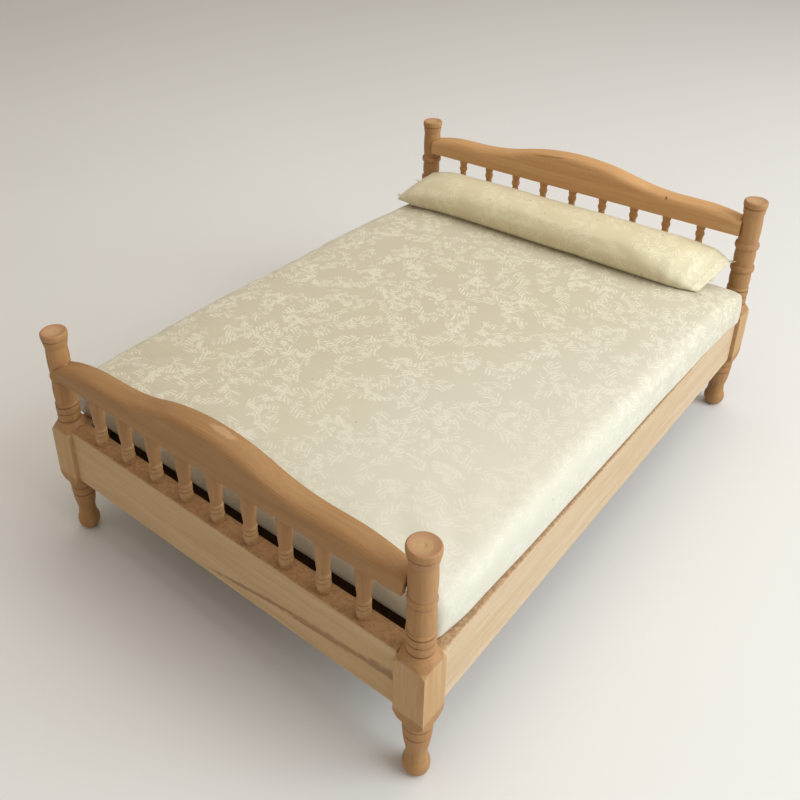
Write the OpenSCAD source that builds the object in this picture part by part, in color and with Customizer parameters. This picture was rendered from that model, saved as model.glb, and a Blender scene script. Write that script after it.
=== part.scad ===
// Miniature double bed: turned posts, crest rails over rows of turned spindles,
// a loose padded mattress and a loose bolster pillow.
// +Z is up, +Y runs from foot to head, and the origin is the middle of the bed on the floor.

/* [Bed] */
// Distance across the bed between post axes
span_x = 130; // [124:1:150]
// Distance along the bed between post axes
span_y = 190; // [180:1:220]
// Height of the two foot posts
foot_post_h = 75; // [73:1:85]
// Height of the two head posts
head_post_h = 83; // [81:1:95]

/* [Posts] */
// Width of the square block in each post
block_w = 8.6; // [8.2:0.1:9.4]
// Height of the middle line of the square block
block_z = 32.2; // [31:0.1:33]
// Radius of the barrels turned above the block
barrel_r = 3.4; // [3.2:0.1:3.5]
// Radius of the flat cap on a foot post
foot_cap_r = 4; // [3.7:0.1:4.1]
// Radius of the flat cap on a head post
head_cap_r = 3.8; // [3.7:0.1:4.1]
// Radius of the single ring between the barrels of a foot post
foot_ring_r = 3.5; // [3.4:0.1:4]
// Radius of the rings between the barrels of a head post
head_ring_r = 3.9; // [3.4:0.1:4]
// Length of the barrel that takes the foot crest rail
foot_barrel_l = 9.6; // [9:0.1:10]
// Length of the barrel that takes the head crest rail
head_barrel_l = 10.8; // [10:0.1:12]

/* [Rails] */
// Thickness of the side rails and of the rails under the spindles
rail_t = 6; // [5:0.1:7]
// Top of the rails under the spindles
cross_rail_top = 42; // [41:0.5:42]
// Height of the rails under the spindles
cross_rail_h = 19; // [17:0.5:19]
// Top of the side rails, which the mattress rests on
side_rail_top = 40; // [39:0.5:40]
// Height of the side rails
side_rail_h = 17.8; // [16:0.1:17.8]

/* [Crest rails] */
// Thickness of the crest rails
crest_t = 7.8; // [7:0.1:8.4]
// Height of the foot crest rail in its two low stretches
foot_crest_low_h = 6.5; // [6:0.1:7.5]
// Height of the foot crest rail in the middle
foot_crest_mid_h = 12.3; // [10:0.1:13]
// Height of the head crest rail in its two low stretches
head_crest_low_h = 7.1; // [6:0.1:7.5]
// Height of the head crest rail in the middle
head_crest_mid_h = 12.6; // [10:0.1:13]
// Underside of the foot crest rail
foot_crest_z = 61; // [61:0.1:61.5]
// Underside of the head crest rail
head_crest_z = 70.4; // [70:0.1:71]

/* [Spindles] */
// Number of spindles in each end of the bed
spindle_n = 9; // [9]
// Distance between spindle axes
spindle_pitch = 12.25; // [11.5:0.05:12.5]
// Radius of a spindle at its widest
spindle_r = 2.1; // [1.9:0.05:2.2]

/* [Bedding] */
// Width of the mattress
mattress_w = 133.6; // [120:0.2:134]
// Length of the mattress
mattress_l = 174; // [160:1:175]
// Thickness of the mattress
mattress_t = 13.9; // [10:0.1:14]
// How far the loose mattress lies turned from square, in degrees
mattress_skew = -1.2; // [-1.2:0.1:1.2]
// Length of the pillow
pillow_l = 126; // [100:1:126]
// Depth of the pillow from front to back
pillow_d = 26; // [20:0.5:26]
// Thickness of the pillow
pillow_t = 11.6; // [8:0.1:12]

/* [Hidden] */
row = [for (i = [1:spindle_n]) i];

$fn = 64;
px = span_x / 2;
py = span_y / 2;
half_block = block_w / 2;

// Heights on the turned part below the block
sole_r = 1.6;
bulb_r = 3.46;
ankle_top = 20.8;
block_low = block_z - 7.6;
block_high = block_z + 7.6;
burn_z = block_high + 4.3;
ring_top = burn_z + 6.2;
cap_l = 4.6;
ring_l = 2.2;

// Dowels
dowel_r = 1.1;
dowel_gap = 0.03;
dowel_in_post = 3.4;
dowel_in_rail = 5;
cross_dowel_z = [26, 34.5];
side_dowel_z = [30.2, 37.6];
crest_dowel_up = 2.6;
crest_dowel_reach = 2.6;
crest_dowel_in = 4;

// Spindle pegs
peg_r = 1;
peg_l = 2.2;

// Crest rail outline
crest_end = px - 2.4;
foot_crest_ends = [-crest_end - 0.8, crest_end - 0.4];
head_crest_ends = [-crest_end, crest_end];
crest_edge_r = 2.2;
foot_wave = 38;
head_wave = 42;
crest_fall_r = 53;

// Bedding
rest_gap = 0.2;
panel_t = 2;
bearer_w = 3;
bearer_z = 27;
mattress_z = side_rail_top + rest_gap;
pillow_z = mattress_z + mattress_t + rest_gap;
pillow_y = py - 4.4 - pillow_d / 2;

wood = "burlywood";
linen = "beige";

// ---- outlines for turning: lists of [radius, height] ----

// A bulging stretch from z0 to z1 that starts and ends at radius r
function bead(z0, z1, r, bulge, n = 6) =
    [for (i = [0:n]) [r + bulge * sin(180 * i / n), z0 + (z1 - z0) * i / n]];

// A short cut between two beads
function groove(z, r, half = 0.18) = [[r, z - half], [r, z + half]];

function foot_outline() = concat(
    [[0, 0], [sole_r, 0]],
    [for (a = [-62:16:34]) [bulb_r * cos(a) + 0.02, 3.55 + 3.9 * sin(a) - 0.1]],
    [[2.72, 7.2], [2.62, 8.2], [2.72, 9.2], [2.98, 10.4]],
    [[3.24, 11.8], [3.42, 13.3], [3.52, 14.9]],
    groove(15.15, 3.32), bead(15.4, 17.95, 3.58, 0.12, 4),
    groove(18.15, 3.42), bead(18.4, ankle_top - 0.3, 3.68, 0.12, 4),
    groove(ankle_top - 0.05, 3.5));

// The block's corners run out in a swelling curve below and a hollow one above
function shoulder_outline() = concat(
    [for (a = [10:16:90]) [3.8 + 2.5 * sin(a), block_low + 0.4 - 4.2 * cos(a)]],
    [[6.3, block_high - 0.2], [5.9, block_high + 0.3], [5.1, block_high + 1.5],
     [4.3, block_high + 2.7], [3.6, block_high + 3.8], [3.3, burn_z - 0.15]]);

function ring_outline() = concat(
    groove(burn_z, 3.12, 0.12), bead(burn_z + 0.2, burn_z + 2.6, 3.36, 0.12),
    groove(burn_z + 2.8, 3.2), bead(burn_z + 3.0, burn_z + 5.1, 3.42, 0.14),
    groove(burn_z + 5.25, 3.25), bead(burn_z + 5.4, ring_top, 3.38, 0.16, 4));

// One or more barrels, each with a ring above it, between the lowest rings and the top barrel
function barrel_outline(z0, z1, n, ring_r) =
    let (step = (z1 - z0) / n, low_r = barrel_r - 0.22)
    [for (i = [0:n - 1]) each concat(
        bead(z0 + i * step + 0.2, z0 + (i + 1) * step - ring_l - 0.1, low_r, 0.24),
        groove(z0 + (i + 1) * step - ring_l, low_r - 0.05, 0.08),
        bead(z0 + (i + 1) * step - ring_l + 0.15, z0 + (i + 1) * step - 0.15, ring_r - 0.2, 0.2))];

// The top ring, the flat cap with its soft rim, and the dished top with its centre mark
function cap_outline(h, r) = concat(
    [[barrel_r - 0.16, h - cap_l], [barrel_r, h - cap_l + 0.1], [r - 0.3, h - cap_l + 1.5]],
    [[r - 0.26, h - 2.5], [r - 0.46, h - 2.35], [r - 0.46, h - 2.2], [r - 0.06, h - 1.95]],
    [[r, h - 1.5], [r, h - 0.7], [r - 0.08, h - 0.3], [r - 0.3, h - 0.06], [r - 0.5, h]],
    [[r - 0.7, h - 0.04], [1.9, h - 0.3], [0.7, h - 0.36], [0.5, h - 0.46], [0, h - 0.5]]);

function post_outline(h, barrel_l, n, ring_r, cap_r) = concat(
    foot_outline(), shoulder_outline(), ring_outline(),
    barrel_outline(ring_top, h - cap_l - barrel_l, n, ring_r),
    bead(h - cap_l - barrel_l + 0.15, h - cap_l - 0.15, barrel_r - 0.2, 0.2, 8),
    cap_outline(h, cap_r));

// ---- frame ----

// A turned outline squared off at the block, with bores for the dowels of the rails
// that leave along side_x and side_y
module post(outline, h, crest_z, side_x, side_y) {
    difference() {
        intersection() {
            rotate_extrude() polygon(outline);
            translate([-half_block, -half_block, 0]) cube([block_w, block_w, h]);
        }
        for (z = cross_dowel_z)
            translate([side_x * (half_block - dowel_in_post), 0, z])
                rotate([0, side_x * 90, 0]) cylinder(r = dowel_r + dowel_gap, h = block_w);
        for (z = side_dowel_z)
            translate([0, side_y * (half_block - dowel_in_post), z])
                rotate([side_y * -90, 0, 0]) cylinder(r = dowel_r + dowel_gap, h = block_w);
        translate([side_x * (barrel_r - crest_dowel_reach), 0, crest_z + crest_dowel_up])
            rotate([0, side_x * 90, 0]) cylinder(r = dowel_r + dowel_gap, h = block_w);
    }
}

module foot_post(side) {
    outline = post_outline(foot_post_h, foot_barrel_l, 1, foot_ring_r, foot_cap_r);
    color(wood) translate([side * px, -py, 0]) post(outline, foot_post_h, foot_crest_z, -side, 1);
}

module head_post(side) {
    outline = post_outline(head_post_h, head_barrel_l, 2, head_ring_r, head_cap_r);
    color(wood) translate([side * px, py, 0]) post(outline, head_post_h, head_crest_z, -side, -1);
}

// Height of a crest rail at a distance x from its middle: a crown and two hollows as arcs that
// meet halfway, level stretches, and a slow fall towards the posts
function crest_h(x, low, mid, wave) =
    let (d = abs(x), turn = wave * 0.52, slope = 2 * atan((mid - low) / wave),
         crown_r = turn / sin(slope), hollow_r = (wave - turn) / sin(slope),
         crown = mid - crown_r + sqrt(pow(crown_r, 2) - pow(min(d, turn), 2)),
         hollow = low + hollow_r - sqrt(pow(hollow_r, 2) - pow(max(wave - d, 0), 2)),
         fall = pow(max(d - wave - 6, 0), 2) / (2 * crest_fall_r))
    (d < turn ? crown : d < wave ? hollow : low) - fall;

// The rail's section at x, for a height h: square below, both top edges rounded
function crest_section(x, h, n = 5) =
    let (y = crest_t / 2 - crest_edge_r, z = h - crest_edge_r)
    concat([[x, -crest_t / 2, 0]],
           [for (i = [0:n]) [x, -y - crest_edge_r * cos(90 * i / n), z + crest_edge_r * sin(90 * i / n)]],
           [for (i = [0:n]) [x, y + crest_edge_r * sin(90 * i / n), z + crest_edge_r * cos(90 * i / n)]],
           [[x, crest_t / 2, 0]]);

module crest_board(ends, low, mid, wave) {
    steps = 60;
    rings = [for (i = [0:steps]) let (x = ends[0] + (ends[1] - ends[0]) * i / steps)
        crest_section(x, crest_h(x, low, mid, wave))];
    m = len(rings[0]);
    points = [for (ring = rings) each ring];
    skin = [for (i = [0:steps - 1], j = [0:m - 1])
        let (a = i * m + j, b = i * m + (j + 1) % m)
        each [[a, a + m, b], [b, a + m, b + m]]];
    polyhedron(points, concat(
        [[for (j = [0:m - 1]) j], [for (j = [m - 1:-1:0]) steps * m + j]], skin));
}

// The board, hollowed at its ends to fit round the posts, with bores for spindles and dowels
module crest_rail(gap) {
    difference() {
        children();
        for (i = row)
            translate([spindle_x(i), 0, -1]) cylinder(r = peg_r + dowel_gap, h = peg_l + 1);
        for (side = [-1, 1]) {
            translate([side * px, 0, -1]) cylinder(r = barrel_r + gap, h = block_w * 2);
            translate([side * (crest_end - crest_dowel_in), 0, crest_dowel_up])
                rotate([0, side * 90, 0]) cylinder(r = dowel_r + dowel_gap, h = 2 * crest_dowel_in);
        }
    }
}

module foot_crest_rail() {
    color(wood) translate([0, -py, foot_crest_z]) crest_rail(0.2)
        crest_board(foot_crest_ends, foot_crest_low_h, foot_crest_mid_h, foot_wave);
}

module head_crest_rail() {
    color(wood) translate([0, py, head_crest_z]) crest_rail(0.06)
        crest_board(head_crest_ends, head_crest_low_h, head_crest_mid_h, head_wave);
}

// A board's section with softened corners, drawn about its middle
module board_section(w, h, r = 0.5) {
    polygon([for (c = [[1, 1, 0], [-1, 1, 90], [-1, -1, 180], [1, -1, 270]], a = [0:30:90])
        [c[0] * (w / 2 - r) + r * cos(c[2] + a), c[1] * (h / 2 - r) + r * sin(c[2] + a)]]);
}

module lower_rail(y) {
    length = span_x - block_w;
    translate([0, y, cross_rail_top - cross_rail_h / 2]) difference() {
        rotate([90, 0, 90]) linear_extrude(length, center = true) board_section(rail_t, cross_rail_h);
        for (i = row)
            translate([spindle_x(i), 0, cross_rail_h / 2 - peg_l])
                cylinder(r = peg_r + dowel_gap, h = peg_l + 1);
        for (side = [-1, 1], z = cross_dowel_z)
            translate([side * (length / 2 - dowel_in_rail), 0, z - cross_rail_top + cross_rail_h / 2])
                rotate([0, side * 90, 0]) cylinder(r = dowel_r + dowel_gap, h = 2 * dowel_in_rail);
    }
}

// The foot rail has a long tapering hollow in its front, from near the middle to the right end
module foot_lower_rail() {
    hollow_r = 8.93;
    hollow_depth = 1.4;
    start_x = -8;
    run = [span_x / 2 - start_x, hollow_depth - hollow_r, 5.2];
    color(wood) difference() {
        lower_rail(-py);
        translate([start_x, -py - rail_t / 2, cross_rail_top - cross_rail_h + 0.5])
            rotate([0, acos(run.z / norm(run)), atan2(run.y, run.x)])
                cylinder(r1 = 0, r2 = hollow_r, h = norm(run));
    }
}

module head_lower_rail() {
    color(wood) lower_rail(py);
}

module side_rail(side) {
    length = span_y - block_w;
    color(wood) translate([side * px, 0, side_rail_top - side_rail_h / 2]) difference() {
        rotate([90, 0, 0]) linear_extrude(length, center = true) board_section(rail_t, side_rail_h);
        for (end = [-1, 1], z = side_dowel_z)
            translate([0, end * (length / 2 - dowel_in_rail), z - side_rail_top + side_rail_h / 2])
                rotate([end * -90, 0, 0]) cylinder(r = dowel_r + dowel_gap, h = 2 * dowel_in_rail);
    }
}

// ---- spindles ----

function spindle_x(i) = (i - (spindle_n + 1) / 2) * spindle_pitch;

// A beaded base, a long vase, and a neck and bead at the top of the tall spindles. The short
// ones are the same turning cut off above its widest part.
function spindle_curve(l) = concat(
    [[1.72, 0], [1.78, 0.5]],
    groove(0.75, 1.66, 0.1), bead(0.95, 3.1, 1.8, 0.16, 6), groove(3.3, 1.66, 0.12),
    bead(3.5, 4.7, 1.82, 0.08, 4), groove(4.85, 1.7, 0.1), bead(5, 5.7, 1.78, 0.14, 4),
    [[1.62, 6.1], [1.68, 7.2]],
    [for (t = [0.2:0.2:1]) [1.7 + (spindle_r - 1.7) * sin(90 * t), 7.2 + (l - 21.4) * t]],
    [[spindle_r, l - 12.4], [spindle_r - 0.1, l - 11.4], [1.75, l - 10.4], [1.5, l - 9.6]],
    [[1.34, l - 8.8], [1.22, l - 7.8], [1.16, l - 6.8], [1.18, l - 6]],
    bead(l - 5.7, l - 3.5, 1.26, 0.3, 6), [[1.28, l - 3.2], [1.42, l - 2.8]],
    bead(l - 2.7, l - 0.4, 1.46, 0.08, 4), [[1.5, l - 0.2], [1.56, l]]);

function spindle_outline(l, whole_l) =
    let (curve = spindle_curve(whole_l), end_r = lookup(l, [for (p = curve) [p[1], p[0]]]))
    concat([[0, -peg_l], [peg_r, -peg_l], [peg_r, 0]], [for (p = curve) if (p[1] < l - 0.2) p],
           [[end_r, l], [peg_r, l], [peg_r, l + peg_l], [0, l + peg_l]]);

module spindle(i, y, crest_z) {
    color(wood) translate([spindle_x(i), y, cross_rail_top]) rotate_extrude($fn = 40)
        polygon(spindle_outline(crest_z - cross_rail_top, head_crest_z - cross_rail_top));
}

// ---- what carries the mattress, and the dowels ----

module base_panel() {
    color("tan") translate([-(span_x - rail_t) / 2 + 0.1, -(span_y - block_w) / 2 + 0.1, bearer_z + bearer_w])
        cube([span_x - rail_t - 0.2, span_y - block_w - 0.2, panel_t]);
}

module bearer(side) {
    inner = px - rail_t / 2;
    color(wood) translate([side > 0 ? inner - bearer_w : -inner, -py + 10, bearer_z])
        cube([bearer_w, span_y - 20, bearer_w]);
}

module rail_dowels() {
    l = dowel_in_post + dowel_in_rail;
    color("peru") for (sx = [-1, 1], sy = [-1, 1]) {
        for (z = cross_dowel_z)
            translate([sx * (px - half_block + dowel_in_post), sy * py, z])
                rotate([0, sx * -90, 0]) cylinder(r = dowel_r, h = l, $fn = 32);
        for (z = side_dowel_z)
            translate([sx * px, sy * (py - half_block + dowel_in_post), z])
                rotate([sy * 90, 0, 0]) cylinder(r = dowel_r, h = l, $fn = 32);
    }
}

module crest_dowels() {
    color("peru") for (sx = [-1, 1], end = [[-py, foot_crest_z], [py, head_crest_z]]) {
        tip = px - barrel_r + crest_dowel_reach;
        translate([sx * tip, end[0], end[1] + crest_dowel_up]) rotate([0, sx * -90, 0])
            cylinder(r = dowel_r, h = tip - crest_end + crest_dowel_in, $fn = 32);
    }
}

// ---- bedding ----

module mattress() {
    r = 3.4;
    color(linen) translate([0, 0, mattress_z]) rotate([0, 0, mattress_skew]) hull()
        for (x = [-1, 1], y = [-1, 1], z = [r, mattress_t - r])
            translate([x * (mattress_w / 2 - r), y * (mattress_l / 2 - r), z]) sphere(r = r, $fn = 32);
}

module pillow() {
    seam_r = 1.2;
    end_l = 26;
    color(linen) translate([0, pillow_y, pillow_z + pillow_t / 2]) hull()
        for (x = [-1, 1]) {
            translate([x * (pillow_l / 2 - end_l), 0, 0])
                scale([end_l - 2, pillow_d / 2, pillow_t / 2]) sphere(r = 1, $fn = 32);
            for (y = [-1, 1])
                translate([x * (pillow_l / 2 - seam_r), y * (pillow_d / 2 - seam_r - 1), -0.6])
                    sphere(r = seam_r, $fn = 24);
        }
}

foot_post(-1);  // foot_post_left
foot_post(1);  // foot_post_right
head_post(-1);  // head_post_left
head_post(1);  // head_post_right
foot_crest_rail();
head_crest_rail();
foot_lower_rail();
head_lower_rail();
side_rail(-1);  // side_rail_left
side_rail(1);  // side_rail_right
for (i = row) {
    spindle(i, -py, foot_crest_z);
    spindle(i, py, head_crest_z);
}
base_panel();
bearer(-1);  // bearer_left
bearer(1);  // bearer_right
rail_dowels();
crest_dowels();
mattress();
pillow();
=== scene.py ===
import bpy
import math
import random
from mathutils import Matrix, Vector, noise


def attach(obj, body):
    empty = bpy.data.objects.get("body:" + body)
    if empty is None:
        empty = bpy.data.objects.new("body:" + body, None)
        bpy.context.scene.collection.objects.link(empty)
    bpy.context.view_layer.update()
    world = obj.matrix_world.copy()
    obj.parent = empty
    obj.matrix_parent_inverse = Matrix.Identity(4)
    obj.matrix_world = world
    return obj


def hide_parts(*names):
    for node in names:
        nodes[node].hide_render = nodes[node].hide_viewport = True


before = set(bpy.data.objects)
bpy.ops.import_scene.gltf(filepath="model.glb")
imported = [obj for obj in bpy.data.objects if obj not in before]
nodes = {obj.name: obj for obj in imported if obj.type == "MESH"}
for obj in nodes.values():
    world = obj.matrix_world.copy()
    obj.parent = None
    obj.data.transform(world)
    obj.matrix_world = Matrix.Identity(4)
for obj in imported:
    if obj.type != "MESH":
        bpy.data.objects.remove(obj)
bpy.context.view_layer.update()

mm = 0.001


class Val:
    # a socket that takes part in Python expressions
    def __init__(self, net, socket):
        self.net = net
        self.socket = socket

    def maths(self, operation, *others):
        return self.net.node("ShaderNodeMath", {"operation": operation}, [self, *others])

    def __add__(self, other):
        return self.maths("ADD", other)

    def __sub__(self, other):
        return self.maths("SUBTRACT", other)

    def __mul__(self, other):
        return self.maths("MULTIPLY", other)

    def __truediv__(self, other):
        return self.maths("DIVIDE", other)

    def __rsub__(self, other):
        return self.net.node("ShaderNodeMath", {"operation": "SUBTRACT"}, [other, self])

    __radd__ = __add__

    def size(self):
        return self.maths("ABSOLUTE")

    def biggest(self, other):
        return self.maths("MAXIMUM", other)

    def step(self, low, high):
        # 0 below low, 1 above high, smooth between
        return self.net.node("ShaderNodeMapRange", {"interpolation_type": "SMOOTHSTEP"},
                             {"Value": self, "From Min": low, "From Max": high})


class Net:
    # one material and what is wired in it
    def __init__(self, name, **constants):
        self.material = bpy.data.materials.new(name)
        self.material.use_nodes = True
        self.tree = self.material.node_tree
        self.shader = self.tree.nodes["Principled BSDF"]
        for socket, value in constants.items():
            self.shader.inputs[socket.replace("_", " ")].default_value = value

    def node(self, kind, settings=None, inputs=(), out=0):
        made = self.tree.nodes.new(kind)
        for key, value in (settings or {}).items():
            setattr(made, key, value)
        pairs = inputs.items() if isinstance(inputs, dict) else enumerate(inputs)
        for key, value in pairs:
            if isinstance(value, Val):
                self.tree.links.new(value.socket, made.inputs[key])
            else:
                made.inputs[key].default_value = value
        return Val(self, made.outputs[out])

    def mix(self, factor, a, b, kind="MIX"):
        a, b = (c if isinstance(c, Val) else (*c, 1) for c in (a, b))
        return self.node("ShaderNodeMix", {"data_type": "RGBA", "blend_type": kind},
                         {0: factor, 6: a, 7: b}, out=2)

    def place(self, scale=(1, 1, 1), shift=(0, 0, 0), source=None):
        # object coordinates in millimetres, stretched and moved
        if source is None:
            source = self.node("ShaderNodeTexCoord", out="Object")
        return self.node("ShaderNodeMapping", {}, {"Vector": source, "Location": shift,
                                                   "Scale": [s / mm for s in scale]})

    def even(self, scale):
        return self.place((scale, scale, scale))

    def normal(self):
        return self.split(self.node("ShaderNodeTexCoord", out="Normal"))

    def split(self, vector):
        return [self.node("ShaderNodeSeparateXYZ", {}, [vector], out=i) for i in range(3)]

    def noise(self, vector, scale=1, detail=2, rough=0.5, twist=0):
        return self.node("ShaderNodeTexNoise", {}, {"Vector": vector, "Scale": scale, "Detail": detail,
                                                    "Roughness": rough, "Distortion": twist})

    def feed(self, socket, value):
        self.tree.links.new(value.socket, self.shader.inputs[socket])

    def bump(self, height, strength, distance):
        self.feed("Normal", self.node("ShaderNodeBump", {}, {"Strength": strength, "Distance": distance * mm,
                                                             "Height": height}))


cameraSet = {"place": (143.2, -212.8, 217.5), "azimuth": 42.63, "elevation": 29.06, "roll": -2.21,
             "lens": 41.88, "shift": (0.118, -0.1595), "sensor": 36, "clip": (0.01, 20)}
lightSet = {
    "lamps": {
        "window": {"place": (770, 190, 460), "size": (700, 650), "power": 6.6, "tint": (0.83, 0.925, 1.0)},
        "ceiling": {"place": (170, 160, 700), "size": (900, 900), "power": 3.1, "tint": (1.0, 0.945, 0.86)},
        "fill": {"place": (-400, -700, 600), "size": (1200, 1200), "power": 0.5, "tint": (1.0, 0.90, 0.76)},
    },
    "sky": (1.0, 0.915, 0.81), "skyPower": 0.41,
}
floorSet = {"size": 6, "tone": (0.735, 0.725, 0.71), "rough": 0.6, "blotch": 0.004, "lift": 1.03}


def makeCamera():
    data = bpy.data.cameras.new("camera")
    data.lens, data.sensor_width = cameraSet["lens"], cameraSet["sensor"]
    data.shift_x, data.shift_y = cameraSet["shift"]
    data.clip_start, data.clip_end = cameraSet["clip"]
    camera = bpy.data.objects.new("camera", data)
    bpy.context.scene.collection.objects.link(camera)
    a, e, r = (math.radians(cameraSet[k]) for k in ("azimuth", "elevation", "roll"))
    back = Vector((math.sin(a) * math.cos(e), -math.cos(a) * math.cos(e), math.sin(e)))
    right = Vector((0, 0, 1)).cross(back).normalized()
    up = back.cross(right)
    turned = (right * math.cos(r) + up * math.sin(r), up * math.cos(r) - right * math.sin(r), back)
    camera.matrix_world = (Matrix.Translation(Vector(cameraSet["place"]) * mm)
                           @ Matrix(turned).transposed().to_4x4())
    bpy.context.scene.camera = camera


def makeLights():
    for name, one in lightSet["lamps"].items():
        data = bpy.data.lights.new(name, "AREA")
        data.shape, (data.size, data.size_y) = "RECTANGLE", [s * mm for s in one["size"]]
        data.energy, data.color = one["power"], one["tint"]
        lamp = bpy.data.objects.new(name, data)
        bpy.context.scene.collection.objects.link(lamp)
        lamp.location = Vector(one["place"]) * mm
        lamp.rotation_euler = lamp.location.to_track_quat("Z", "Y").to_euler()
    world = bpy.data.worlds.new("room")
    bpy.context.scene.world = world
    world.use_nodes = True
    world.node_tree.nodes["Background"].inputs["Color"].default_value = (*lightSet["sky"], 1)
    world.node_tree.nodes["Background"].inputs["Strength"].default_value = lightSet["skyPower"]


def setLook():
    # plain colours, as a camera without a picture style gives them
    view = bpy.context.scene.view_settings
    view.view_transform, view.look = "Standard", "None"


def makeFloor():
    bpy.ops.mesh.primitive_plane_add(size=floorSet["size"])
    floor = bpy.context.object
    floor.name = "floor"
    net = Net("paperFloor", Roughness=floorSet["rough"])
    blotch = net.noise(net.even(floorSet["blotch"]), detail=3)
    net.feed("Base Color", net.mix(blotch.step(0.3, 0.7), floorSet["tone"],
                                   [c * floorSet["lift"] for c in floorSet["tone"]]))
    floor.data.materials.append(net.material)


# each board, post and spindle is cut from pale close-grained wood
boardWood = {"pale": (0.59, 0.415, 0.235), "mid": (0.52, 0.345, 0.17), "dark": (0.39, 0.225, 0.085),
             "pore": (0.27, 0.14, 0.055), "end": (0.42, 0.215, 0.115), "streak": 0.3, "fibre": 2.6,
             "rough": 0.62, "bump": 0.35, "bumpDeep": 0.12,
             "heart": (14, -9), "ringGap": 1.1, "endCover": 0.75}
# a paler, less yellow copy for the side rails: painted light, to give their faces the window's light
litSideWood = dict(boardWood, pale=(0.625, 0.485, 0.325), mid=(0.565, 0.41, 0.25))
# a darker copy for the foot crest rail: painted shade on its front
shadedCrestWood = dict(boardWood, pale=(0.40, 0.225, 0.092), mid=(0.345, 0.18, 0.07), dark=(0.26, 0.125, 0.042))
# a lighter copy of that for the head crest rail: painted light on its front
litHeadCrestWood = dict(shadedCrestWood, pale=(0.62, 0.36, 0.155), mid=(0.55, 0.295, 0.12), dark=(0.38, 0.19, 0.07))
postWood = dict(boardWood, pale=(0.54, 0.35, 0.17), mid=(0.47, 0.275, 0.12), dark=(0.34, 0.175, 0.062))
spindleWood = dict(postWood, pale=(0.54, 0.335, 0.165), mid=(0.45, 0.26, 0.115))
# a much lighter copy for the head spindles: painted light, in place of light the crest rail shades off them
litHeadSpindleWood = dict(postWood, pale=(0.80, 0.50, 0.23), mid=(0.70, 0.41, 0.17), dark=(0.50, 0.27, 0.10))
# a near-black copy for the base panel and bearers under the mattress: painted shade
shadedPanelWood = dict(boardWood, pale=(0.22, 0.14, 0.075), mid=(0.17, 0.10, 0.05), dark=(0.11, 0.06, 0.03))


def woodColour(net, grain, wood, seed):
    # streaks, fibres and pores stretched along the grain (0, 1 or 2 for X, Y or Z)
    def along(across, lengthwise):
        scale = [across] * 3
        scale[grain] = lengthwise
        return net.place(scale, shift=(seed * 7.3, seed * 3.1, seed * 5.7))
    streak = net.noise(along(wood["streak"], 0.012), detail=4, rough=0.6, twist=0.4).step(0.3, 0.7)
    fibre = net.noise(along(wood["fibre"], 0.09), detail=3, rough=0.6)
    pore = net.noise(along(5.5, 0.8), detail=1).step(0.64, 0.76)
    figure = net.noise(along(0.9, 0.03), detail=2, twist=1.2).step(0.52, 0.66)
    colour = net.mix(streak, wood["pale"], wood["mid"])
    colour = net.mix(fibre.step(0.42, 0.72) * 0.28, colour, wood["dark"])
    colour = net.mix(figure * 0.14, colour, wood["dark"])
    colour = net.mix(pore * 0.3, colour, wood["pore"])
    height = fibre * 0.6 + streak * 0.2 - pore * 0.8
    return colour, height


def endGrain(net, grain, wood):
    # growth rings about the heart line, and how much the surface faces along the grain
    p = net.split(net.place())
    n = net.normal()
    a, b = [i for i in range(3) if i != grain]
    da, db = p[a] - wood["heart"][0], p[b] - wood["heart"][1]
    radius = (da * da + db * db).maths("SQRT")
    wobble = net.noise(net.even(0.5), detail=2) * 1.5
    ring = ((radius + wobble) * (math.tau / wood["ringGap"])).maths("SINE") * 0.5 + 0.5
    return ring, n[grain].size().step(0.75, 0.93)


def sawnAndShadedTop(net, colour, height, top):
    # the upper edge as it was left by the saw, painted darker too: painted shade where the mattress's edge
    # hangs over the rail tops
    n = net.normal()
    ragged = net.noise(net.even(0.9), detail=4, rough=0.7)
    up = (n[2] + (ragged - 0.5) * 0.35).step(0.55, 0.8)
    tone = net.mix(ragged.step(0.4, 0.62), top["pale"], top["dark"])
    return net.mix(up * top["cover"], colour, tone), height + up * ragged * top["rise"]


def stainedAndShaded(net, colour, stainsAndShade):
    # each stain or patch of painted shade has a middle, how far it spreads, its slope, its colour and its
    # strength
    for middle, spread, slope, tone, strength in stainsAndShade:
        spot = net.node("ShaderNodeMapping", {"vector_type": "TEXTURE"},
                        {"Vector": net.node("ShaderNodeTexCoord", out="Object"), "Rotation": (0, slope, 0),
                         "Location": [c * mm for c in middle], "Scale": [w * mm for w in spread]})
        far = net.node("ShaderNodeVectorMath", {"operation": "LENGTH"}, [spot], out=1)
        ragged = net.noise(net.even(0.7), detail=3)
        colour = net.mix((1 - far - (ragged - 0.5) * 0.9).step(0, 0.45) * strength, colour, tone)
    return colour


def boardFinish(name, grain, wood, seed, top=None, stainsAndShade=()):
    net = Net(name, Roughness=wood["rough"], Specular_IOR_Level=0.35)
    colour, height = woodColour(net, grain, wood, seed)
    ring, end = endGrain(net, grain, wood)
    colour = net.mix(end * wood["endCover"], colour, net.mix(ring, wood["end"], wood["dark"]))
    if top:
        colour, height = sawnAndShadedTop(net, colour, height, top)
    net.feed("Base Color", stainedAndShaded(net, colour, stainsAndShade))
    net.bump(height, wood["bump"], wood["bumpDeep"])
    return net.material


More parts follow.
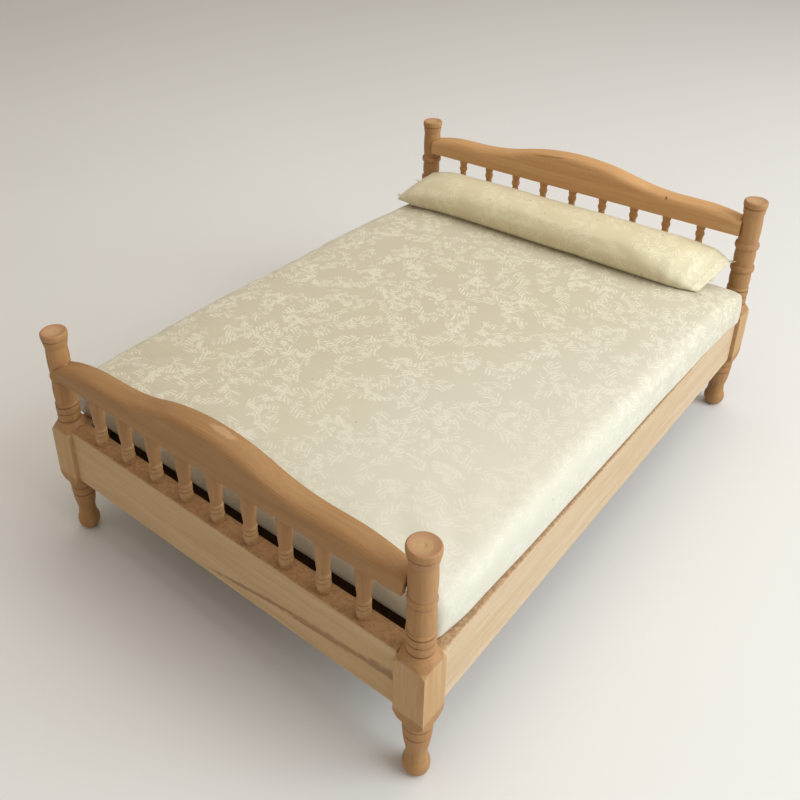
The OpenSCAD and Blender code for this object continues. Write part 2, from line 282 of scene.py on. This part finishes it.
def turnedFinish(name, wood, seed, turning, lines):
    # turning says where the axes stand, mirrored about the middle of the bed, and between which
    # heights the tool left no ridges; lines are the heights and widths of the dark cuts
    net = Net(name, Roughness=wood["rough"], Specular_IOR_Level=0.4)
    colour, height = woodColour(net, 2, wood, seed)
    x, y, z = net.split(net.place())
    pitch = turning.get("pitch")
    if pitch:
        offset = x / pitch + 0.5
        dx = (offset.maths("FRACT") - 0.5) * pitch
        tone = net.node("ShaderNodeTexWhiteNoise", {"noise_dimensions": "1D"},
                        {"W": offset.maths("FLOOR") + seed})
        colour = net.mix(tone.step(0.1, 1.0) * 0.45, colour, wood["dark"])
    else:
        dx = x.size() - turning["axes"][0]
    dy = y.size() - turning["axes"][1]
    radius = (dx * dx + dy * dy).maths("SQRT")
    cut = None
    for line, width in lines:
        near = (z - line).size().step(width, width * 0.35)
        cut = near if cut is None else cut.biggest(near)
    scorch = cut * net.noise(net.place((0.5, 0.5, 1.5)), detail=2).step(0.15, 0.6)
    colour = net.mix(scorch * 0.48, colour, wood["pore"])
    low, high = turning["plain"]
    turned = (z - low).step(0.4, -0.4).biggest((z - high).step(-0.4, 0.4))
    ripe = net.mix(1.0, colour, turning["ripe"], "MULTIPLY")
    colour = net.mix(turned * turning["ripeness"], colour, ripe)
    ridge = (z * 14 + net.noise(net.place((0.3, 0.3, 2)), detail=2) * 3).maths("SINE")
    height = height + ridge * turned * 0.22
    colour = net.mix((ridge * 0.5 + 0.5) * turned * 0.12, colour, wood["dark"])
    top = net.normal()[2].step(0.75, 0.93) * (z - high).step(5, 8)
    lathe = (radius * 16 + net.noise(net.even(0.8)) * 4).maths("SINE") * 0.5 + 0.5
    disc = net.mix(lathe * 0.5, net.mix(radius.step(1.2, 3.6), wood["pale"], wood["end"]), wood["end"])
    net.feed("Base Color", net.mix(top * 0.8, colour, disc))
    net.bump(height + lathe * top * 0.5, wood["bump"], wood["bumpDeep"])
    return net.material


def dress(material, *names):
    for name in names:
        nodes[name].data.materials.clear()
        nodes[name].data.materials.append(material)


postSet = {"axes": (65, 95), "plain": (24, 41), "ripe": (0.73, 0.57, 0.42), "ripeness": 0.7, "seed": 12,
           "low": [(15.15, 0.3), (18.15, 0.3), (20.75, 0.35), (44.1, 0.45), (46.95, 0.3), (49.4, 0.35)],
           "foot": [(58.6, 0.3), (60.75, 0.25), (72.7, 0.3)],
           "head": [(56.75, 0.35), (58.95, 0.3), (65.4, 0.35), (67.6, 0.3), (80.7, 0.4)]}
spindleSet = {"axes": postSet["axes"], "pitch": 12.25, "plain": (42, 48), "ripe": postSet["ripe"],
              "ripeness": 0.35, "lines": [(42.75, 0.22), (45.3, 0.24), (46.85, 0.24)], "count": 9}
boardMarks = {
    # rail tops: rough sawn wood, with painted shade in their darker colours, under the mattress's edge
    "sawnShaded": {"cover": 0.75, "rise": 2.2, "pale": (0.50, 0.31, 0.16), "dark": (0.27, 0.13, 0.055)},
    "ledge": {"cover": 0.75, "rise": 0.8, "pale": (0.38, 0.19, 0.075), "dark": (0.25, 0.11, 0.04)},
    # a rubbed patch, the shade beside it and a bright dot, on the foot crest rail
    "wearAndPaintedLight": [((4.6, -94.2, 73.2), (5.6, 1.5, 1.9), 0.12, (0.56, 0.345, 0.195), 0.55),
             ((-1, -96.2, 73.6), (8, 1.0, 1.4), 0, (0.34, 0.17, 0.06), 0.4),
             ((43, -93.8, 65.3), (0.5, 0.5, 1.5), 0, (0.68, 0.48, 0.31), 0.7)],
    # a dark fleck and the dark lines along the front edge of the head crest rail
    "fleckAndLines": [((36.2, 91, 77.7), (0.5, 1.6, 1.6), -0.35, (0.10, 0.045, 0.02), 1.0),
             ((10, 91.3, 82.6), (11, 1.4, 0.45), 0.08, (0.20, 0.10, 0.04), 0.75),
             ((25, 91.3, 81.3), (6, 1.4, 0.4), 0.12, (0.16, 0.08, 0.03), 0.8),
             ((-9, 91.3, 81.6), (8, 1.4, 0.35), -0.12, (0.22, 0.11, 0.05), 0.6)],
    # painted shade on the upper side of the hollow in the foot rail, wider toward the right end, where the
    # shallow scoop casts too little shade of its own
    "hollow": [((15, -98, 27.8), (19, 4, 0.9), -0.16, (0.24, 0.13, 0.055), 0.75),
               ((43, -98, 30.3), (21, 4, 2.0), -0.08, (0.30, 0.175, 0.075), 0.85),
               ((58, -98, 31.6), (11, 4, 2.9), -0.1, (0.28, 0.16, 0.07), 0.8)],
}


def finishBoards():
    marks = boardMarks
    dress(boardFinish("sideBoardLit", 1, litSideWood, 1, marks["sawnShaded"]), "side_rail_left", "side_rail_right")
    dress(boardFinish("footBoard", 0, boardWood, 2, marks["ledge"], marks["hollow"]), "foot_lower_rail")
    dress(boardFinish("headBoard", 0, boardWood, 3, marks["ledge"]), "head_lower_rail")
    dress(boardFinish("crestFootShaded", 0, shadedCrestWood, 4, stainsAndShade=marks["wearAndPaintedLight"]), "foot_crest_rail")
    dress(boardFinish("crestHeadLit", 0, litHeadCrestWood, 5, stainsAndShade=marks["fleckAndLines"]), "head_crest_rail")
    dress(boardFinish("panelBoardShaded", 1, shadedPanelWood, 6), "base_panel", "bearer_left", "bearer_right")
    dress(boardFinish("dowelRod", 0, boardWood, 7), "rail_dowels", "crest_dowels")


def finishTurnings():
    # the head spindles take the lighter wood copy, with its painted light
    for end, wood, seed in (("foot", spindleWood, 11), ("head", litHeadSpindleWood, 13)):
        cuts = postSet["low"] + postSet[end]
        dress(turnedFinish(end + "PostTurning", postWood, postSet["seed"], postSet, cuts),
              end + "_post_left", end + "_post_right")
        dress(turnedFinish(end + "SpindleTurning", wood, seed, spindleSet, spindleSet["lines"]),
              *[f"{end}_spindle_{i + 1}" for i in range(spindleSet["count"])])


# the lighter ground and twig colours used toward the near right corner are painted sheen
clothTone = {"ground": (0.575, 0.52, 0.385), "sprig": (0.78, 0.745, 0.605), "wearAndPaintedLight": (0.675, 0.655, 0.55),
             "bright": (0.85, 0.83, 0.735), "aged": (0.55, 0.50, 0.30), "speck": (0.14, 0.11, 0.06),
             "specks": 0.025, "rib": 0.5, "sprigs": [(10.5, 0.0), (12, 31.7), (14, 77.1)]}
# a lighter, yellower copy of the cloth for the pillow: painted warm bounce light on its front
pillowToneWithBounce = dict(clothTone, ground=(0.70, 0.625, 0.41), sprig=(0.79, 0.735, 0.54), specks=0.10)
sprigSet = {"pitch": 1.75, "reach": 2.7, "taper": 1.7, "leaf": 0.34, "stem": 0.16, "bend": 0.13,
            "stagger": 0.43}


def sprigLayer(net, p, cell, shift):
    # one bent twig with pairs of slender leaves in every cell of a scattered pattern
    s = sprigSet
    x, y, _ = net.split(p)
    grid = net.node("ShaderNodeMapping", {}, {"Vector": p, "Location": (shift, shift * 0.6, 0),
                                              "Scale": (1 / cell,) * 3})
    spot = net.node("ShaderNodeTexVoronoi", {"voronoi_dimensions": "2D"},
                    {"Vector": grid, "Scale": 1, "Randomness": 0.9}, out="Position")
    tint = net.split(Val(net, spot.socket.node.outputs["Color"]))
    cx, cy, _ = net.split(spot)
    dx = x - (cx - shift) * cell
    dy = y - (cy - shift * 0.6) * cell
    turn = tint[0] * math.tau
    cosine, sine = turn.maths("COSINE"), turn.maths("SINE")
    u, v = dx * cosine + dy * sine, dy * cosine - dx * sine
    v = v + u * u * (tint[1] - 0.5) * s["bend"]
    side = v.size()
    half = cell * 0.46
    reach = s["reach"] - u * u * (s["taper"] / (half * half)) + tint[2] * 0.6
    loose = net.noise(p, scale=0.35, detail=0)
    leaf = (u - side * (0.75 + loose * 0.7)) / s["pitch"] + v.step(-0.01, 0.01) * s["stagger"] + tint[1]
    gap = ((leaf.maths("FRACT") - 0.5).size()) * (s["pitch"] * 0.7)
    middle = side - reach * 0.5
    width = s["leaf"] - middle * middle * 0.11
    missing = net.noise(p, scale=0.4, detail=0).step(0.42, 0.53)
    blade = (width - gap).step(-0.13, 0.12) * (reach - side).step(-0.2, 0.4) * missing
    stem = (s["stem"] - side).step(-0.12, 0.08) * (half * 0.7 - u).step(-0.2, 0.2)
    return blade.biggest(stem * 0.7) * (half - u.size()).step(-0.2, 0.2)


def specksOf(net, p, share):
    # small dark specks in a few of the cells of a scattered pattern
    dots = net.node("ShaderNodeTexVoronoi", {"voronoi_dimensions": "2D"}, {"Vector": p, "Scale": 0.22})
    chosen = net.split(Val(net, dots.socket.node.outputs["Color"]))[0].step(1 - share, 1.001 - share)
    return (0.055 - dots).step(-0.02, 0.015) * chosen * 0.6


def clothFinish(name, tone):
    net = Net(name, Specular_IOR_Level=0.3, Sheen_Weight=0.25, Sheen_Roughness=0.4)
    weave = net.node("ShaderNodeUVMap", {"uv_map": "cloth"})
    p = net.place(source=weave)
    figure = None
    for cell, shift in tone["sprigs"]:
        one = sprigLayer(net, p, cell, shift)
        figure = one if figure is None else figure.biggest(one)
    x, y, _ = net.split(p)
    rib = (y * (math.tau / tone["rib"])).maths("SINE") * 0.5 + 0.5
    cross = (x * (math.tau / (tone["rib"] * 0.7))).maths("SINE") * 0.5 + 0.5
    slub = net.noise(net.place((0.05, 1.4, 1), source=weave), detail=3)
    ground = net.mix(rib * 0.18 + cross * 0.08, tone["ground"], [c * 0.82 for c in tone["ground"]])
    ground = net.mix(slub.step(0.35, 0.75) * 0.12, ground, tone["sprig"])
    # painted sheen: the cloth is painted lighter and the figure faintest toward the near right corner, where
    # the light washes the silk out
    clear = (y * 0.6 - x).step(-115, 15)
    ground = net.mix(clear, tone["wearAndPaintedLight"], ground)
    colour = net.mix(figure * (0.22 + clear * 0.48), ground, net.mix(clear, tone["bright"], tone["sprig"]))
    colour = net.mix(net.noise(net.even(0.03), detail=3).step(0.4, 0.7) * 0.12, colour, tone["aged"])
    net.feed("Base Color", net.mix(specksOf(net, p, tone["specks"]), colour, tone["speck"]))
    net.feed("Roughness", 0.62 - figure * 0.17)
    net.bump(figure * 0.6 + (rib * 0.5 + cross * 0.25) * (1 - figure) + slub * 0.2, 0.35, 0.1)
    return net.material


def clothMap(piece, top):
    # lays the weave over a piece: flat from above, and carried on down its sides
    if "UVMap" in piece.data.uv_layers:
        piece.data.uv_layers.remove(piece.data.uv_layers["UVMap"])
    layer = piece.data.uv_layers.new(name="cloth")
    spots = []
    for v in piece.data.vertices:
        drop = max(0.0, top * mm - v.co.z)
        flat = max(1e-6, v.normal.x ** 2 + v.normal.y ** 2)
        spots.append((v.co.x + math.copysign(drop, v.normal.x) * v.normal.x ** 2 / flat,
                      v.co.y + math.copysign(drop, v.normal.y) * v.normal.y ** 2 / flat))
    for loop in piece.data.loops:
        layer.data[loop.index].uv = spots[loop.vertex_index]


def clearSelection():
    bpy.ops.object.select_all(action="DESELECT")


def activate(piece):
    clearSelection()
    piece.select_set(True)
    bpy.context.view_layer.objects.active = piece


def faceOut(piece):
    activate(piece)
    bpy.ops.object.mode_set(mode="EDIT")
    bpy.ops.mesh.select_all(action="SELECT")
    bpy.ops.mesh.normals_make_consistent(inside=False)
    bpy.ops.object.mode_set(mode="OBJECT")


clothSet = {"scale": 10, "frames": 20, "quality": 6, "mass": 0.3, "stretch": 20, "bend": 0.4}


def inflate(piece, pinned, pressure, cap, shrink):
    # a short cloth simulation at ten times life size; no point moves further than cap
    s = clothSet
    rest = [v.co.copy() for v in piece.data.vertices]
    piece.data.transform(Matrix.Scale(s["scale"], 4))
    held = piece.vertex_groups.new(name="held")
    held.add(pinned, 1.0, "REPLACE")
    activate(piece)
    cloth = piece.modifiers.new("cloth", "CLOTH")
    cloth.settings.quality = s["quality"]
    cloth.settings.mass = s["mass"]
    cloth.settings.tension_stiffness = cloth.settings.compression_stiffness = s["stretch"]
    cloth.settings.bending_stiffness = s["bend"]
    cloth.settings.use_pressure = True
    cloth.settings.uniform_pressure_force = pressure
    cloth.settings.shrink_min = shrink
    cloth.settings.vertex_group_mass = "held"
    cloth.settings.effector_weights.gravity = 0
    cloth.collision_settings.use_collision = False
    cloth.point_cache.frame_start, cloth.point_cache.frame_end = 1, s["frames"]
    for step in range(1, s["frames"] + 1):
        bpy.context.scene.frame_set(step)
    bpy.ops.object.modifier_apply(modifier=cloth.name)
    bpy.context.scene.frame_set(1)
    piece.data.transform(Matrix.Scale(1 / s["scale"], 4))
    piece.vertex_groups.clear()
    for v, start in zip(piece.data.vertices, rest):
        move = v.co - start
        if move.length > cap * mm:
            v.co = start + move * (cap * mm / move.length)


def smoothOff(piece):
    activate(piece)
    made = piece.modifiers.new("fine", "SUBSURF")
    made.levels = made.render_levels = 1
    bpy.ops.object.modifier_apply(modifier=made.name)
    bpy.ops.object.shade_smooth()


def blockOf(name, across, along, deep):
    # a closed block of even quads, made from a flat grid that is raised a layer at a time
    clearSelection()
    bpy.ops.mesh.primitive_grid_add(x_subdivisions=across, y_subdivisions=along, size=2)
    piece = bpy.context.object
    piece.name = piece.data.name = name
    bpy.ops.object.mode_set(mode="EDIT")
    bpy.ops.mesh.select_all(action="SELECT")
    for _ in range(deep):
        bpy.ops.mesh.extrude_region_move(TRANSFORM_OT_translate={"value": (0, 0, 1 / deep)})
    bpy.ops.mesh.select_all(action="SELECT")
    bpy.ops.mesh.remove_doubles(threshold=0.0001)
    bpy.ops.mesh.normals_make_consistent(inside=False)
    bpy.ops.object.mode_set(mode="OBJECT")
    return piece


def smoothStep(value):
    value = max(0.0, min(1.0, value))
    return value * value * (3 - 2 * value)


def curveAt(points, t):
    # a smooth value at t from a list of (t, value)
    for (t0, a), (t1, b) in zip(points, points[1:]):
        if t <= t1:
            return a + (b - a) * smoothStep((t - t0) / (t1 - t0))
    return points[-1][1]


mattressSet = {
    # the line of each long side on the rails, as (y, x)
    "left": [(-89, -71.4), (-40, -70.6), (20, -68.4), (89, -65.2)],
    "right": [(-90, 65.9), (-77, 67.1), (-45, 67.7), (20, 68.1), (58, 68.6), (76, 69.1), (89, 70.1)],
    "foot": -89.4, "head": 88.4, "low": 40.1, "high": 54.2, "quads": (60, 78, 7),
    # the radius of its edges below and above, and how much smaller it is at the far right corner
    "edgeLow": 0.9, "edgeHigh": 3.8, "sharp": 2.4,
    "droop": 2.0, "bulge": 1.5, "crown": 1.0, "ripple": 0.32,
    # the creases that run to the near right corner
    "pull": 1.1, "cornerAt": (67, -90), "pullReach": 26, "creases": 9,
    "pressure": 3.0, "cap": 0.7, "shrink": 0.01, "held": 0.6, "clothTop": 55,
}


def roundedPad(a, b, c):
    # a point of the pad as a box with rounded edges; a and b run across and along it, c up it
    s = mattressSet
    y = s["foot"] + (s["head"] - s["foot"]) * (b + 1) / 2
    left, right = curveAt(s["left"], y), curveAt(s["right"], y)
    corner = smoothStep((a - 0.7) / 0.3) * smoothStep((b - 0.75) / 0.25)
    edge = s["edgeLow"] + (s["edgeHigh"] - s["sharp"] * corner - s["edgeLow"]) * smoothStep(c * 1.5)
    point = Vector((left + (right - left) * (a + 1) / 2, y, s["low"] + (s["high"] - s["low"]) * c))
    low = Vector((left, s["foot"], s["low"])) + Vector((1, 1, 1)) * edge
    high = Vector((right, s["head"], s["high"])) - Vector((1, 1, 1)) * edge
    core = Vector([max(low[i], min(high[i], point[i])) for i in range(3)])
    away = point - core
    if away.length > 0:
        point = core + away.normalized() * edge
    return point


def swellPad(point, a, b, c):
    s = mattressSet
    belly = math.sin(math.pi * min(1, c * 1.15)) ** 0.8 if c < 0.87 else 0
    point.x += s["bulge"] * belly * (0.35 * max(0, a) ** 12 - max(0, -a) ** 12)
    point.z += c * (s["crown"] * (1 - a * a) * (1 - b ** 6) - s["droop"] * abs(a * b) ** 5)


def creasePad(point, a, b, c):
    # the cover is drawn up unevenly along its edges and pulled at the near corner
    s = mattressSet
    rim = max(abs(a), abs(b)) ** 10 * c
    soft = noise.noise(Vector((point.x * 0.09, point.y * 0.13, 4.2))) + 0.5 * noise.noise(
        Vector((point.x * 0.3, point.y * 0.33, 9.1)))
    point.z += s["ripple"] * soft * (0.25 + rim) * c
    wander = noise.noise(Vector((point.y * 0.22, point.z * 0.1, 1.7)))
    point.x += s["ripple"] * rim * math.copysign(1, a) * wander
    away = Vector((point.x - s["cornerAt"][0], point.y - s["cornerAt"][1]))
    near = smoothStep(1 - away.length / s["pullReach"])
    fan = math.sin(s["creases"] * math.atan2(away.y, -away.x) + 0.06 * away.length)
    point.z += s["pull"] * near * c * (0.28 * fan * smoothStep(away.length / 7) - 0.75)


def makeMattress():
    s = mattressSet
    piece = blockOf("mattress_pad", *s["quads"])
    for v in piece.data.vertices:
        a, b, c = v.co
        point = roundedPad(a, b, c)
        swellPad(point, a, b, c)
        creasePad(point, a, b, c)
        v.co = point * mm
    pinned = [v.index for v in piece.data.vertices if v.co.z < (s["low"] + s["held"]) * mm]
    inflate(piece, pinned, s["pressure"], s["cap"], s["shrink"])
    smoothOff(piece)
    clothMap(piece, s["clothTop"])
    piece.data.materials.clear()
    piece.data.materials.append(clothFinish("mattressCloth", clothTone))
    return piece


pillowSet = {
    # along: x, middle y, middle z, half depth, half height, tilt in degrees
    "sections": [(-64.2, 82.3, 58.5, 8.9, 0.45, 29), (-61, 81.9, 59.2, 10.0, 2.3, 23),
                 (-55, 80.8, 60.2, 11.4, 4.6, 13), (-45, 80.4, 61.0, 11.5, 5.6, 6),
                 (-20, 79.6, 61.4, 11.8, 6.1, 2), (10, 79.2, 61.4, 12.0, 6.1, 2),
                 (38, 79.4, 61.2, 12.0, 5.9, 4), (49, 80.2, 60.8, 11.7, 5.3, 9),
                 (54.5, 81.0, 60.0, 11.0, 4.0, 15), (58, 81.6, 58.9, 9.8, 1.9, 19),
                 (59.4, 81.75, 58.3, 9.1, 0.6, 19.4), (60.3, 81.75, 57.95, 8.8, 0.35, 19.4)],
    "round": 48, "rings": 64, "gather": 0.9, "soft": 0.35,
    # how far each end slants, and the height it lies at
    "leanLeft": 0.46, "leanRight": 0.23, "floor": 55.1, "sag": 1.2,
    "pressure": 2.5, "cap": 0.6, "heldLeft": 6, "heldRight": 4, "clothTop": 67,
}


def pillowPoint(t, angle, capped):
    # a point of the bolster, t along it and angle round it; rings lie closer toward the ends
    s = pillowSet
    keys = s["sections"]
    eased = t - s["gather"] * math.sin(2 * math.pi * t) / (2 * math.pi)
    x = keys[0][0] + (keys[-1][0] - keys[0][0]) * eased
    y0, z0, a, b, tilt = (curveAt([(k[0], k[i]) for k in keys], x) for i in range(1, 6))
    if capped:
        a, b = a * 0.8, b * 0.3
    dy = a * math.copysign(abs(math.cos(angle)) ** 0.85, math.cos(angle))
    dz = b * math.copysign(abs(math.sin(angle)) ** (0.75 if math.sin(angle) < 0 else 0.97), math.sin(angle))
    r = math.radians(tilt)
    y = y0 + dy * math.cos(r) - dz * math.sin(r)
    z = z0 + dy * math.sin(r) + dz * math.cos(r)
    lean = s["leanLeft"] * smoothStep((-40 - x) / 24) + s["leanRight"] * smoothStep((x - 40) / 20)
    z += s["soft"] * noise.noise(Vector((x * 0.11, y * 0.16, 3.3))) * smoothStep((z - 57) / 5)
    floor = s["floor"] - s["sag"] * smoothStep((-62 - x - lean * (y - y0)) / 4)
    return Vector((x + lean * (y - y0), y, max(z, floor)))


def makePillow():
    s = pillowSet
    clearSelection()
    bpy.ops.mesh.primitive_cylinder_add(vertices=s["round"], radius=1, depth=2, end_fill_type="NGON")
    piece = bpy.context.object
    piece.name = piece.data.name = "pillow_bolster"
    bpy.ops.object.mode_set(mode="EDIT")
    for cut in range(1, s["rings"]):
        bpy.ops.mesh.select_all(action="SELECT")
        bpy.ops.mesh.bisect(plane_co=(0, 0, -1 + 2 * cut / s["rings"]), plane_no=(0, 0, 1))
    bpy.ops.object.mode_set(mode="OBJECT")
    for v in piece.data.vertices:
        v.co = pillowPoint((v.co.z + 1) / 2, math.atan2(v.co.x, v.co.y), abs(v.co.z) > 0.999) * mm
    faceOut(piece)
    low, high = s["sections"][0][0] + s["heldLeft"], s["sections"][-1][0] - s["heldRight"]
    ends = [v.index for v in piece.data.vertices
            if not low < v.co.x / mm < high or v.co.z / mm < s["floor"] + 0.05]
    inflate(piece, ends, s["pressure"], s["cap"], 0.0)
    smoothOff(piece)
    clothMap(piece, s["clothTop"])
    piece.data.materials.clear()
    piece.data.materials.append(clothFinish("pillowCloth", pillowToneWithBounce))
    return piece


threadSet = {
    # frayed tufts: where, how many, which way they lie, how long
    "tufts": [((58.4, 73.7, 55.4), 10, (0.6, -0.7, 0.05), 3.0),
              ((59.9, 80.0, 57.6), 6, (0.9, -0.3, -0.1), 1.2),
              ((62.0, 89.4, 60.9), 6, (0.6, 0.6, 0.5), 1.5),
              ((-67.0, 76.0, 55.2), 6, (-0.9, -0.1, 0.3), 1.6),
              ((-63.6, 84.0, 59.6), 4, (-0.9, 0.3, 0.4), 1.2)],
    "thick": 0.11, "bed": 55.2, "seed": 5, "tone": (0.82, 0.78, 0.64),
    # the seam across the right end, from its near to its far corner
    "seam": ((58.3, 73.5, 0), (62.2, 90, 0)), "seamIn": 1.7,
    "stitches": 10, "stitch": 1.1, "stitchThick": 0.13,
}


def strand(points, thick):
    # one thread bent through four control points, as a tube
    clearSelection()
    bpy.ops.curve.primitive_bezier_curve_add(location=(0, 0, 0))
    made = bpy.context.object
    first, last = made.data.splines[0].bezier_points
    for end in (first, last):
        end.handle_left_type = end.handle_right_type = "FREE"
    a, b, c, d = [p * mm for p in points]
    first.co, first.handle_right, first.handle_left = a, b, a * 2 - b
    last.co, last.handle_left, last.handle_right = d, c, d * 2 - c
    made.data.resolution_u = 6
    made.data.bevel_depth, made.data.bevel_resolution, made.data.use_fill_caps = thick * mm, 1, True
    bpy.ops.object.convert(target="MESH")
    return bpy.context.object


def makeTufts():
    s = threadSet
    chance = random.Random(s["seed"])
    made = []
    for root, count, way, reach in s["tufts"]:
        for _ in range(count):
            start = Vector(root) + Vector([chance.uniform(-0.5, 0.5), chance.uniform(-0.8, 0.8), 0])
            lead = (Vector(way) + Vector([chance.uniform(-0.6, 0.6) for _ in range(3)]) * 0.7).normalized()
            reachNow = reach * chance.uniform(0.5, 1.0)
            curl = Vector([chance.uniform(-0.5, 0.5) for _ in range(3)])
            points = [start, start + lead * reachNow * 0.4, start + (lead + curl * 0.6) * reachNow * 0.7,
                      start + (lead + curl) * reachNow]
            for point in points:
                point.z = max(point.z, s["bed"])
            made.append(strand(points, s["thick"]))
    return made


def makeStitches(pillow):
    s = threadSet
    made = []
    near, far = (Vector(end) for end in s["seam"])
    along = (far - near).normalized()
    lift = Vector((0, 0, 0.2))
    for i in range(s["stitches"]):
        middle = near.lerp(far, (i + 0.6) / s["stitches"]) - Vector((s["seamIn"], 0, 0))
        ends = []
        for side in (-0.5, 0.5):
            over = middle + along * side * s["stitch"]
            hit, spot, _, _ = pillow.ray_cast(Vector((over.x, over.y, 80)) * mm, Vector((0, 0, -1)))
            if hit:
                ends.append(spot / mm)
        if len(ends) == 2:
            made.append(strand([ends[0] - lift * 0.3, ends[0] + lift, ends[1] + lift, ends[1] - lift * 0.3],
                               s["stitchThick"]))
    return made


def makeThreads(pillow):
    made = makeTufts() + makeStitches(pillow)
    clearSelection()
    for one in made:
        one.select_set(True)
    bpy.context.view_layer.objects.active = made[0]
    bpy.ops.object.join()
    threads = bpy.context.object
    threads.name = threads.data.name = "pillow_threads"
    net = Net("threadCotton", Roughness=0.7, Sheen_Weight=0.2)
    tint = net.noise(net.even(0.8), detail=1)
    tone = threadSet["tone"]
    net.feed("Base Color", net.mix(tint.step(0.35, 0.7), tone, [c * 0.8 for c in tone]))
    threads.data.materials.clear()
    threads.data.materials.append(net.material)
    bpy.ops.object.shade_smooth()
    return threads


print("stage: camera, light, floor")
setLook()
makeCamera()
makeLights()
makeFloor()
print("stage: wood")
finishBoards()
finishTurnings()
print("stage: mattress")
mattress = makeMattress()
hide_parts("mattress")
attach(mattress, "mattress")
print("stage: pillow")
pillow = makePillow()
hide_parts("pillow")
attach(pillow, "pillow")
print("stage: threads")
bpy.context.view_layer.update()
threads = makeThreads(pillow)
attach(threads, "pillow")

bpy.context.view_layer.update()
